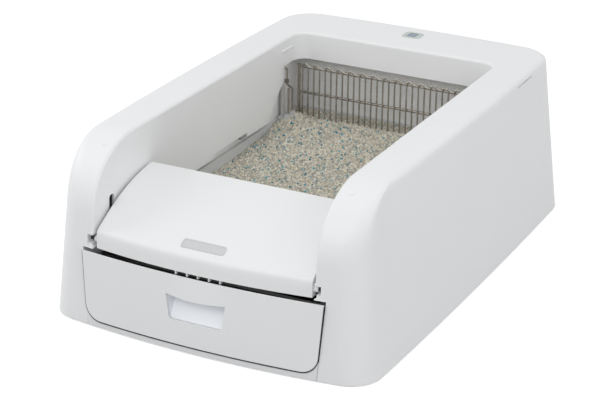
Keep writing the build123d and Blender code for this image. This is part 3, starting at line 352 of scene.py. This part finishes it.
def outline(grow, drop):
    """(n, 2) points (x, z) round the drawer, grow out at the sides and drop below it, from its top left.

    A side leans by the angle a = atan((HALF_HIGH - HALF_LOW) / DRAWER_TOP). The corner's circle touches
    the side and the bottom, so its centre is at x = edge(z) - r / cos(a), where z = bottom + r.
    """
    lean = (HALF_HIGH - HALF_LOW) / DRAWER_TOP
    angle = math.atan(lean)
    radius = CORNER_RADIUS + grow
    bottom = DRAWER_LOW - drop
    centre_z = bottom + radius
    centre_x = HALF_LOW + lean * centre_z + (grow - radius) / math.cos(angle)
    turn = np.linspace(-math.pi / 2, -angle, ARC_POINTS)
    arc = np.stack([centre_x + radius * np.cos(turn), centre_z + radius * np.sin(turn)], -1)
    z = np.linspace(arc[-1, 1], DRAWER_TOP, SIDE_POINTS)[1:]
    side = np.stack([HALF_LOW + lean * z + grow / math.cos(angle), z], -1)
    x = np.linspace(0.0, centre_x, BOTTOM_POINTS)[:-1]
    below = np.stack([x, np.full_like(x, bottom)], -1)
    right = np.concatenate([below, arc, side])
    return np.concatenate([right[:0:-1] * (-1, 1), right])


print("outline of", len(outline(0.0, 0.0)), "points")

# %% Painted shade strip in the drawer gap
FACE_LOW, FACE_HIGH = -338.6 * MM, -335.2 * MM # y of the drawer's face on the middle plane
BOW, BOW_REACH = 14.7 * MM, 200.0 * MM         # how far the face falls back at that distance from the middle
GAP_SHADE_FROM, GAP_SHADE_TO = 0.25 * MM, 0.95 * MM      # reach of the painted shade strip across the gap at the sides
GAP_SHADE_DROP = 1.85 * MM                          # and at the bottom, where the gap is wider
GAP_SHADE_FRONT, GAP_SHADE_BACK = 0.35 * MM, 2.2 * MM    # depth of the painted shade strip behind the face


def face_depth(x, z):
    """y of the drawer's bowed face: a straight line up the middle plus bow * (x / reach)^2."""
    share = (z - DRAWER_LOW) / (DRAWER_TOP - DRAWER_LOW)
    return FACE_LOW + (FACE_HIGH - FACE_LOW) * share + BOW * (x / BOW_REACH) ** 2


def drawer_gap_shade():
    """Dark strip of painted shade with four corners in section, carried along the outline and closed at both
    ends.
    """
    rows = []
    inner, outer = (GAP_SHADE_FROM, GAP_SHADE_FROM), (GAP_SHADE_TO, GAP_SHADE_DROP)
    for reach, depth in ((inner, GAP_SHADE_FRONT), (outer, GAP_SHADE_FRONT), (outer, GAP_SHADE_BACK), (inner, GAP_SHADE_BACK)):
        line = outline(*reach)
        rows.append(np.stack([line[:, 0], face_depth(line[:, 0], line[:, 1]) + depth, line[:, 1]], -1))
    points = np.stack(rows, 1)
    last = 4 * (len(points) - 1)
    caps = np.array([[0, 1, 2, 3], [last + 3, last + 2, last + 1, last]])
    faces = np.concatenate([grid_faces(len(points), 4, close_columns=True), caps])
    points = points.reshape(-1, 3)
    piece = mesh_piece("drawer_gap_shade", points, outward(points, faces), smooth=False)
    piece.data.materials.append(FINISH["gap_shade_dark"])
    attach(piece, "frame")
    return piece


print("painted_gap_shade", len(drawer_gap_shade().data.polygons), "faces")

# %% [markdown]
# ## Painted highlights on the rake
# At each second tine a small mound of a brighter copy of the wire's metal paints the short highlight on the
# top of the two cross bars. A mound is half sunk in the bar. It could be a sphere of hundreds of faces, but a
# twenty-sided lump, stretched along the bar and shaded smooth, is plenty for a few millimetres.

# %% Twenty-sided lump
def icosahedron():
    """Twelve points and twenty triangles of a unit icosahedron."""
    g = (1 + math.sqrt(5)) / 2
    points = np.array([(-1, g, 0), (1, g, 0), (-1, -g, 0), (1, -g, 0), (0, -1, g), (0, 1, g),
                       (0, -1, -g), (0, 1, -g), (g, 0, -1), (g, 0, 1), (-g, 0, -1), (-g, 0, 1)], float)
    faces = np.array([(0, 11, 5), (0, 5, 1), (0, 1, 7), (0, 7, 10), (0, 10, 11), (1, 5, 9), (5, 11, 4),
                      (11, 10, 2), (10, 7, 6), (7, 1, 8), (3, 9, 4), (3, 4, 2), (3, 2, 6), (3, 6, 8),
                      (3, 8, 9), (4, 9, 5), (2, 4, 11), (6, 2, 10), (8, 6, 7), (9, 8, 1)])
    points = points / np.linalg.norm(points[0])
    return points, outward(points, faces)


print("lump of", len(icosahedron()[1]), "faces")


# %% Beads of painted highlight
TINE_PITCH, TINE_PAIRS = 9.0 * MM, 16
BEAD_HALF = (3.6 * MM, 1.5 * MM, 1.3 * MM)
BEAD_FORWARD, BEAD_SUNK = 0.4 * MM, 0.9 * MM   # in front of the bar's middle, and below its top


def bar_highlight_row(bar):
    """Beads of painted highlight along one cross bar, as one piece on the rake."""
    low, high = (np.array(corner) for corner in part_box(bar))
    middle = (low + high) / 2
    unit, faces = icosahedron()
    x = ((np.arange(TINE_PAIRS) - (TINE_PAIRS - 1) / 2) * 2 + 0.5) * TINE_PITCH
    y, z = middle[1] - BEAD_FORWARD, high[2] - BEAD_SUNK
    centres = np.stack([x, np.full_like(x, y), np.full_like(x, z)], -1)
    points = centres[:, None, :] + unit[None] * BEAD_HALF
    corners = np.arange(TINE_PAIRS)[:, None, None] * len(unit) + faces[None]
    piece = mesh_piece(f"{bar}_highlight_beads", points.reshape(-1, 3), corners.reshape(-1, 3))
    piece.data.materials.append(FINISH["bar_highlight_metal"])
    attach(piece, "rake")
    return piece


for bar_name in ("rake_top_bar", "rake_mid_bar"):
    print("highlight_beads on", bar_name, len(bar_highlight_row(bar_name).data.polygons), "faces")

# %% [markdown]
# ## Catches high on the inner walls
# A small raised bar sits near the rear top of the inner wall, with a twin across from it. It is a plain
# box whose edges a Bevel modifier rounds, half sunk in the wall.

# %% Wall catches
CATCH_CENTRE = (149.8 * MM, 186.5 * MM, 208.3 * MM)
CATCH_HALF = (1.2 * MM, 16.0 * MM, 1.9 * MM)
BEVEL_STEPS = 3


def rounded_block(name, centre, half, radius):
    """Box from its centre and half sizes, with its edges rounded."""
    signs = np.array([(-1, -1, -1), (1, -1, -1), (1, 1, -1), (-1, 1, -1),
                      (-1, -1, 1), (1, -1, 1), (1, 1, 1), (-1, 1, 1)], float)
    faces = np.array([(0, 3, 2, 1), (4, 5, 6, 7), (0, 1, 5, 4), (1, 2, 6, 5), (2, 3, 7, 6), (3, 0, 4, 7)])
    points = np.array(centre) + signs * half
    piece = mesh_piece(name, points, outward(points, faces))
    bevel = piece.modifiers.new("rounded", "BEVEL")
    bevel.width, bevel.segments = radius, BEVEL_STEPS
    return piece


for side_name, sign in (("left", -1), ("right", 1)):
    centre = (sign * CATCH_CENTRE[0], *CATCH_CENTRE[1:])
    catch = rounded_block(f"wall_catch_{side_name}", centre, CATCH_HALF, MM)
    catch.data.materials.append(FINISH["white_shell"])
    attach(catch, "frame")
print("wall catches at y", CATCH_CENTRE[1], "z", CATCH_CENTRE[2])

# %% [markdown]
# ## The body of the litter
# Seen from above, the litter is a gently uneven bed that the rake has pushed up towards the rear, with a
# small heap in each rear corner. Its height is one formula of x and y. The body under the grains is that
# surface, closed by a bottom that is as much smaller as the tray's walls lean.

# %% Shape of the bed
LEVEL, HEAP = 92.0 * MM, 103.0 * MM            # litter in front, and pushed up under the rake
HEAP_FROM, HEAP_TO = 60.0 * MM, 200.0 * MM     # y where it starts to rise, and where it is level again
CORNER = (148.0 * MM, 186.0 * MM)              # x and y of the small heap in each rear corner
CORNER_RISE, CORNER_SPREAD = 8.0 * MM, (20.0 * MM, 30.0 * MM)
WAVE_ACROSS, WAVE_ALONG = 0.6, 0.8             # heights of the two waves, in millimetres


def bed_height(x, y):
    """Litter surface: z = level + rise * heap + corner + waves - lowering.

    rise goes evenly from 0 to 1 along y. corner = h * exp(-(u^2 + v^2)), with u and v the distances from
    the corner's heap over its spread. The waves are two sines whose phase wanders with the other direction.
    """
    rise = np.clip((y - HEAP_FROM) / (HEAP_TO - HEAP_FROM), 0.0, 1.0)
    across = WAVE_ACROSS * np.sin(x * 61.0 + 1.3 * np.sin(y * 23.0))
    along = WAVE_ALONG * np.sin(y * 37.0 + 2.0 * np.sin(x * 17.0))
    u = (np.abs(x) - CORNER[0]) / CORNER_SPREAD[0]
    v = (y - CORNER[1]) / CORNER_SPREAD[1]
    corner = CORNER_RISE * np.exp(-(u * u + v * v))
    return LEVEL + (HEAP - LEVEL) * rise + corner + (across + along - WAVE_ACROSS - WAVE_ALONG) * MM


print("litter from", LEVEL, "to", HEAP, "m above the floor")

# %% Walls round the bed
HALF_AT_FLOOR, HALF_AT_RIM = 150.0 * MM, 160.0 * MM
TRAY_CORNER = 14.0 * MM                        # radius of the tray's upright corners
bed_low, bed_high = (np.array(corner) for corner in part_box("litter_bed"))
tray_low, tray_high = (np.array(corner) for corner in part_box("litter_tray"))


def bed_half(y):
    """Half width of the litter where its surface meets the tray's leaning side walls.

    In a corner of radius r it is less by r - sqrt(r^2 - d^2), with d the way into the corner along y.
    """
    z = bed_height(0.0, y)
    share = (z - tray_low[2]) / (tray_high[2] - tray_low[2])
    wall = HALF_AT_FLOOR + (HALF_AT_RIM - HALF_AT_FLOOR) * share
    into = np.clip(TRAY_CORNER - np.minimum(y - bed_low[1], bed_high[1] - y), 0.0, TRAY_CORNER)
    return wall - TRAY_CORNER + np.sqrt(TRAY_CORNER**2 - into**2)


print("half width of the litter in the middle", float(bed_half(0.0)))

# %% Body of the litter
SHEET_ROWS, SHEET_COLUMNS = 180, 120
FLOOR_FROM, FLOOR_TO = -170.0 * MM, 240.4 * MM # y where the tray's floor starts and ends
WALL_GAP, UNDER_GRAINS = 0.4 * MM, 1.2 * MM    # to the tray's walls, and below the grains' middles


def close_sheets(top, bottom, rows, columns):
    """Points and faces of the closed body between two sheets of rows x columns points.

    rim goes once round the edge of a sheet, and quads join it to the same way round the other sheet.
    """
    index = np.arange(rows * columns).reshape(rows, columns)
    rim = np.concatenate([index[0, :-1], index[:-1, -1], index[-1, :0:-1], index[:0:-1, 0]])
    after = np.roll(rim, -1)
    count = rows * columns
    band = np.stack([rim, rim + count, after + count, after], -1)
    cover = grid_faces(rows, columns)
    points, faces = np.concatenate([top, bottom]), np.concatenate([cover, cover[:, ::-1] + count, band])
    return points, outward(points, faces)


def bed_surface():
    """Body of the litter: a height field from wall to wall, over a bottom the size of the tray's floor."""
    across = np.linspace(-1.0, 1.0, SHEET_COLUMNS)
    y = np.linspace(bed_low[1] + WALL_GAP, bed_high[1] - WALL_GAP, SHEET_ROWS)
    share, py = np.meshgrid(across, y)
    half = bed_half(py) - WALL_GAP
    px = share * half
    pz = bed_height(px, py) - UNDER_GRAINS
    lean = HALF_AT_RIM - HALF_AT_FLOOR
    low_y = np.interp(py, (bed_low[1], bed_high[1]), (FLOOR_FROM, FLOOR_TO))
    top = np.stack([px, py, pz], -1)
    bottom = np.stack([share * (half - lean), low_y, np.full_like(py, bed_low[2])], -1)
    points, faces = close_sheets(top.reshape(-1, 3), bottom.reshape(-1, 3), SHEET_ROWS, SHEET_COLUMNS)
    piece = mesh_piece("litter_under", points, faces)
    piece.data.materials.append(FINISH["litter"])
    return piece


litter_under = bed_surface()
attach(litter_under, "frame")
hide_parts("litter_bed")
print("litter body", len(litter_under.data.polygons), "faces")

# %% [markdown]
# ## Where the grains lie
# Clay litter is thousands of crushed grains about 3 mm across. A simulation could drop them, but it
# would be slow and hardly seen. So they are laid on a jittered grid over the bed, with a fixed seed.

# %% Places of the grains
GRAIN_PITCH = 2.6 * MM
GRAIN_SIZE = 1.9 * MM
GRAIN_LEVELS = (-0.9 * MM, 0.5 * MM)           # how far a grain's middle lies below or above the bed
rng = np.random.default_rng(7)


def inside_tray(x, y, gap):
    """Mask of places inside the tapered tray at the litter's level."""
    return (np.abs(x) < bed_half(y) - gap) & (y > bed_low[1] + gap) & (y < bed_high[1] - gap)


def grain_places():
    """Centres of the grains: a square grid over the bed, each place moved at random by up to half a step."""
    x = np.arange(bed_low[0], bed_high[0], GRAIN_PITCH)
    y = np.arange(bed_low[1], bed_high[1], GRAIN_PITCH)
    px, py = (a.ravel() for a in np.meshgrid(x, y))
    px = px + rng.uniform(-0.5, 0.5, px.size) * GRAIN_PITCH
    py = py + rng.uniform(-0.5, 0.5, py.size) * GRAIN_PITCH
    keep = inside_tray(px, py, GRAIN_SIZE)
    px, py = px[keep], py[keep]
    pz = bed_height(px, py) + rng.uniform(*GRAIN_LEVELS, px.size)
    return np.stack([px, py, pz], -1)


grain_middles = grain_places()
print("grains", len(grain_middles))

# %% [markdown]
# ## The shape of a grain
# Each grain is a twenty-sided lump, squashed, dented and turned at random, with flat faces as crushed
# clay has. Its turn comes from a random unit quaternion, which favours no direction.

# %% Shapes of the grains
def random_turns(count):
    """(count, 3, 3) rotation matrices from random unit quaternions."""
    q = rng.normal(size=(count, 4))
    w, x, y, z = (q / np.linalg.norm(q, axis=1, keepdims=True)).T
    rows = [1 - 2 * (y * y + z * z), 2 * (x * y - w * z), 2 * (x * z + w * y),
            2 * (x * y + w * z), 1 - 2 * (x * x + z * z), 2 * (y * z - w * x),
            2 * (x * z - w * y), 2 * (y * z + w * x), 1 - 2 * (x * x + y * y)]
    return np.stack(rows, -1).reshape(-1, 3, 3)


def grain_lumps(centres):
    """(n, 12, 3) corners of the grains: an icosahedron, stretched, dented and turned at random."""
    count = len(centres)
    turns = random_turns(count)
    stretch = rng.uniform(0.65, 1.15, (count, 1, 3)) * GRAIN_SIZE
    dented = icosahedron()[0][None] * stretch * rng.uniform(0.85, 1.15, (count, 12, 1))
    return centres[:, None, :] + np.einsum("nij,nkj->nki", turns, dented)


lumps = grain_lumps(grain_middles)
print("corners of grains", lumps.shape[0] * lumps.shape[1])

# %% [markdown]
# ## Colours of the grains
# Most grains are beige, grey or pale, and about one in twenty is blue-green. Each grain's own colour is
# stored on its points, which is lighter than a material for each colour.

# %% Colours of the grains
BEIGE, GREY, PALE = np.array([[0.76, 0.71, 0.58], [0.56, 0.54, 0.48], [0.88, 0.85, 0.75]])
TEAL, DEEP_TEAL = np.array([[0.08, 0.36, 0.45], [0.03, 0.23, 0.32]])
BEIGE_SHARE, GREY_SHARE, TEAL_SHARE = 0.45, 0.27, 0.05
SPECK_SCALE, SPECK_STRENGTH = 1800.0, 0.2


def add_point_colour(piece, name, colours):
    """Stores an (n, 3) array of linear colours on the points of a piece."""
    layer = piece.data.color_attributes.new(name, "FLOAT_COLOR", "POINT")
    rgba = np.concatenate([colours, np.ones((len(colours), 1))], 1)
    layer.data.foreach_set("color", rgba.astype(np.float32).ravel())


def grain_colours(count):
    """Colour of each grain: mixed beiges and greys, with a few blue-green ones."""
    pick = rng.uniform(size=(count, 1))
    base = np.where(pick < BEIGE_SHARE, BEIGE, np.where(pick < BEIGE_SHARE + GREY_SHARE, GREY, PALE))
    base = base * rng.uniform(0.8, 1.15, (count, 1))
    blue = rng.uniform(size=(count, 1))
    base = np.where(blue < TEAL_SHARE, TEAL * rng.uniform(0.8, 1.4, (count, 1)), base)
    return np.where(blue < TEAL_SHARE / 3, DEEP_TEAL, base)


def grain_material():
    """Dull mineral whose colour is the grain's own."""
    material, tree, shader = new_material("litter_grains")
    colour = tree.nodes.new("ShaderNodeAttribute")
    colour.attribute_name = "grain_colour"
    speck = noise(tree, tree.nodes.new("ShaderNodeTexCoord").outputs["Object"], SPECK_SCALE, 2.0)
    tone = multiplied(tree, colour.outputs["Color"], speck.outputs["Fac"], SPECK_STRENGTH)
    tree.links.new(tone, shader.inputs["Base Color"])
    tree.links.new(mapped(tree, speck.outputs["Fac"], 0.75, 0.95), shader.inputs["Roughness"])
    return material


grain_tones = grain_colours(len(grain_middles))
GRAIN_FINISH = grain_material()
print("mean colour of the grains", grain_tones.mean(0).round(3))

# %% Pieces of grains
def grain_strip(number, lumps, colours):
    """One piece from some of the grains, each point coloured as its grain."""
    faces = icosahedron()[1]
    corners = (np.arange(len(lumps))[:, None, None] * 12 + faces[None]).reshape(-1, 3)
    piece = mesh_piece(f"litter_grains_{number}", lumps.reshape(-1, 3), corners, smooth=False)
    add_point_colour(piece, "grain_colour", np.repeat(colours, 12, 0))
    piece.data.materials.append(GRAIN_FINISH)
    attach(piece, "frame")


for strip, chosen in enumerate(np.array_split(np.argsort(grain_middles[:, 1]), 4)):
    grain_strip(strip + 1, lumps[chosen], grain_tones[chosen])
    print("strip", strip + 1, "of", len(chosen), "grains")

# %% [markdown]
# ## Floor and background
# The picture has a white background and a faint shadow under the box. The floor and the world are white
# where the camera or a reflection sees them, and plainer for the bounces that light the box, so that the
# background is white without more light on the object.

# %% Rays that see the background
def seen_rays(tree):
    """1 for rays from the camera and for those that mirror or pass through, 0 for the light's bounces."""
    rays = tree.nodes.new("ShaderNodeLightPath")
    total = rays.outputs["Is Camera Ray"]
    for kind in ("Is Glossy Ray", "Is Transmission Ray"):
        larger = tree.nodes.new("ShaderNodeMath")
        larger.operation = "MAXIMUM"
        tree.links.new(total, larger.inputs[0])
        tree.links.new(rays.outputs[kind], larger.inputs[1])
        total = larger.outputs[0]
    return total


def switched(tree, seen, bounced, shown):
    """Number that is bounced for the light's bounces and shown where the surface is seen."""
    level = tree.nodes.new("ShaderNodeMapRange")
    level.inputs["To Min"].default_value = bounced
    level.inputs["To Max"].default_value = shown
    tree.links.new(seen, level.inputs["Value"])
    return level.outputs["Result"]


# %% Floor
FLOOR_LIFT, FLOOR_WHITE, FLOOR_ROUGHNESS = 0.35, 0.93, 0.9
FLOOR_RINGS, FLOOR_STEPS = np.array([0.0001, 1.0, 3.0, 6.0]), 96
FLOOR_BOUNCE = 0.35                            # share of the light that the floor sends back to the box


def floor(bounce):
    """Round floor, white where it is seen. It sends back only the share bounce of the studio's light."""
    ring = np.linspace(0.0, 2 * math.pi, FLOOR_STEPS, endpoint=False)
    radius = FLOOR_RINGS[:, None]
    flat = np.zeros((len(FLOOR_RINGS), FLOOR_STEPS))
    points = np.stack([radius * np.cos(ring), radius * np.sin(ring), flat], -1).reshape(-1, 3)
    piece = mesh_piece("floor", points, grid_faces(len(FLOOR_RINGS), FLOOR_STEPS, close_columns=True))
    material, tree, shader = new_material("floor_white")
    seen = seen_rays(tree)
    shade = grey(tree, switched(tree, seen, bounce, FLOOR_WHITE))
    tree.links.new(shade, shader.inputs["Base Color"])
    shader.inputs["Roughness"].default_value = FLOOR_ROUGHNESS
    shader.inputs["Emission Color"].default_value = (1.0, 1.0, 1.0, 1.0)
    tree.links.new(switched(tree, seen, 0.0, FLOOR_LIFT), shader.inputs["Emission Strength"])
    piece.data.materials.append(material)


floor(FLOOR_BOUNCE)
print("floor out to", FLOOR_RINGS[-1], "m")

# %% World
WORLD_STRENGTH = 0.88


def world(strength):
    """White world: strength for light, and full white where the camera or a reflection sees it."""
    scene_world = bpy.data.worlds.new("studio")
    bpy.context.scene.world = scene_world
    scene_world.use_nodes = True
    tree = scene_world.node_tree
    tree.nodes.clear()
    back = tree.nodes.new("ShaderNodeBackground")
    out = tree.nodes.new("ShaderNodeOutputWorld")
    tree.links.new(switched(tree, seen_rays(tree), strength, 1.0), back.inputs["Strength"])
    tree.links.new(back.outputs["Background"], out.inputs["Surface"])


world(WORLD_STRENGTH)
print("world lights with", WORLD_STRENGTH)

# %% [markdown]
# ## Lamps
# The light in the picture is soft and comes from all round. The white world gives most of it. Four large
# square lamps, the strongest at the front and at the left, give each side of the box its own tone.

# %% Lamps
LAMP_SIZE, LAMP_TARGET = 1.4, (0.0, 0.0, 0.1)


def lamp(name, place, power):
    """Square area lamp in watts, aimed at LAMP_TARGET."""
    data = bpy.data.lights.new(name, "AREA")
    data.size, data.energy = LAMP_SIZE, power
    lamp_object = bpy.data.objects.new(name, data)
    bpy.context.scene.collection.objects.link(lamp_object)
    ray = np.array(LAMP_TARGET) - np.array(place)
    lamp_object.location = place
    flat = math.hypot(ray[0], ray[1])
    lamp_object.rotation_euler = (math.atan2(flat, -ray[2]), 0.0, math.atan2(-ray[0], ray[1]))


for name, place, power in (("front", (0.0, -2.3, 1.7), 13.0), ("front_right", (1.9, -1.9, 1.5), 6.0),
                           ("right", (2.3, 0.0, 1.3), 7.5), ("left", (-2.3, -0.3, 1.3), 14.0)):
    lamp(name, place, power)
    print("lamp", name, power, "W")

# %% [markdown]
# ## Camera
# The photograph was taken from the front right with a long lens, which keeps the box's edges nearly
# parallel. Its place, lens and roll were worked out from the box's straight edges.

# %% Camera
CAMERA_PLACE = (1.03827, -2.11245, 1.06799)
AZIMUTH, ELEVATION, ROLL = (math.radians(a) for a in (26.89, 22.84, 0.65))
LENS, SENSOR = 115.98, 36.0
CLIP = (0.1, 40.0)


def camera():
    """Long-lens camera: back, right and up directions are written into its matrix."""
    data = bpy.data.cameras.new("camera")
    data.lens, data.sensor_width = LENS, SENSOR
    data.clip_start, data.clip_end = CLIP
    sa, ca, se, ce = math.sin(AZIMUTH), math.cos(AZIMUTH), math.sin(ELEVATION), math.cos(ELEVATION)
    back = np.array([sa * ce, -ca * ce, se])
    right = np.array([ca, sa, 0.0])
    up = np.cross(back, right)
    right, up = (math.cos(ROLL) * right + math.sin(ROLL) * up,
                 -math.sin(ROLL) * right + math.cos(ROLL) * up)
    matrix = np.eye(4)
    matrix[:3, 0], matrix[:3, 1], matrix[:3, 2], matrix[:3, 3] = right, up, back, CAMERA_PLACE
    piece = bpy.data.objects.new("camera", data)
    bpy.context.scene.collection.objects.link(piece)
    piece.matrix_world = matrix.T.tolist()
    bpy.context.scene.camera = piece


camera()
bpy.context.scene.view_settings.view_transform = "Standard"
print("camera with a lens of", LENS, "mm")
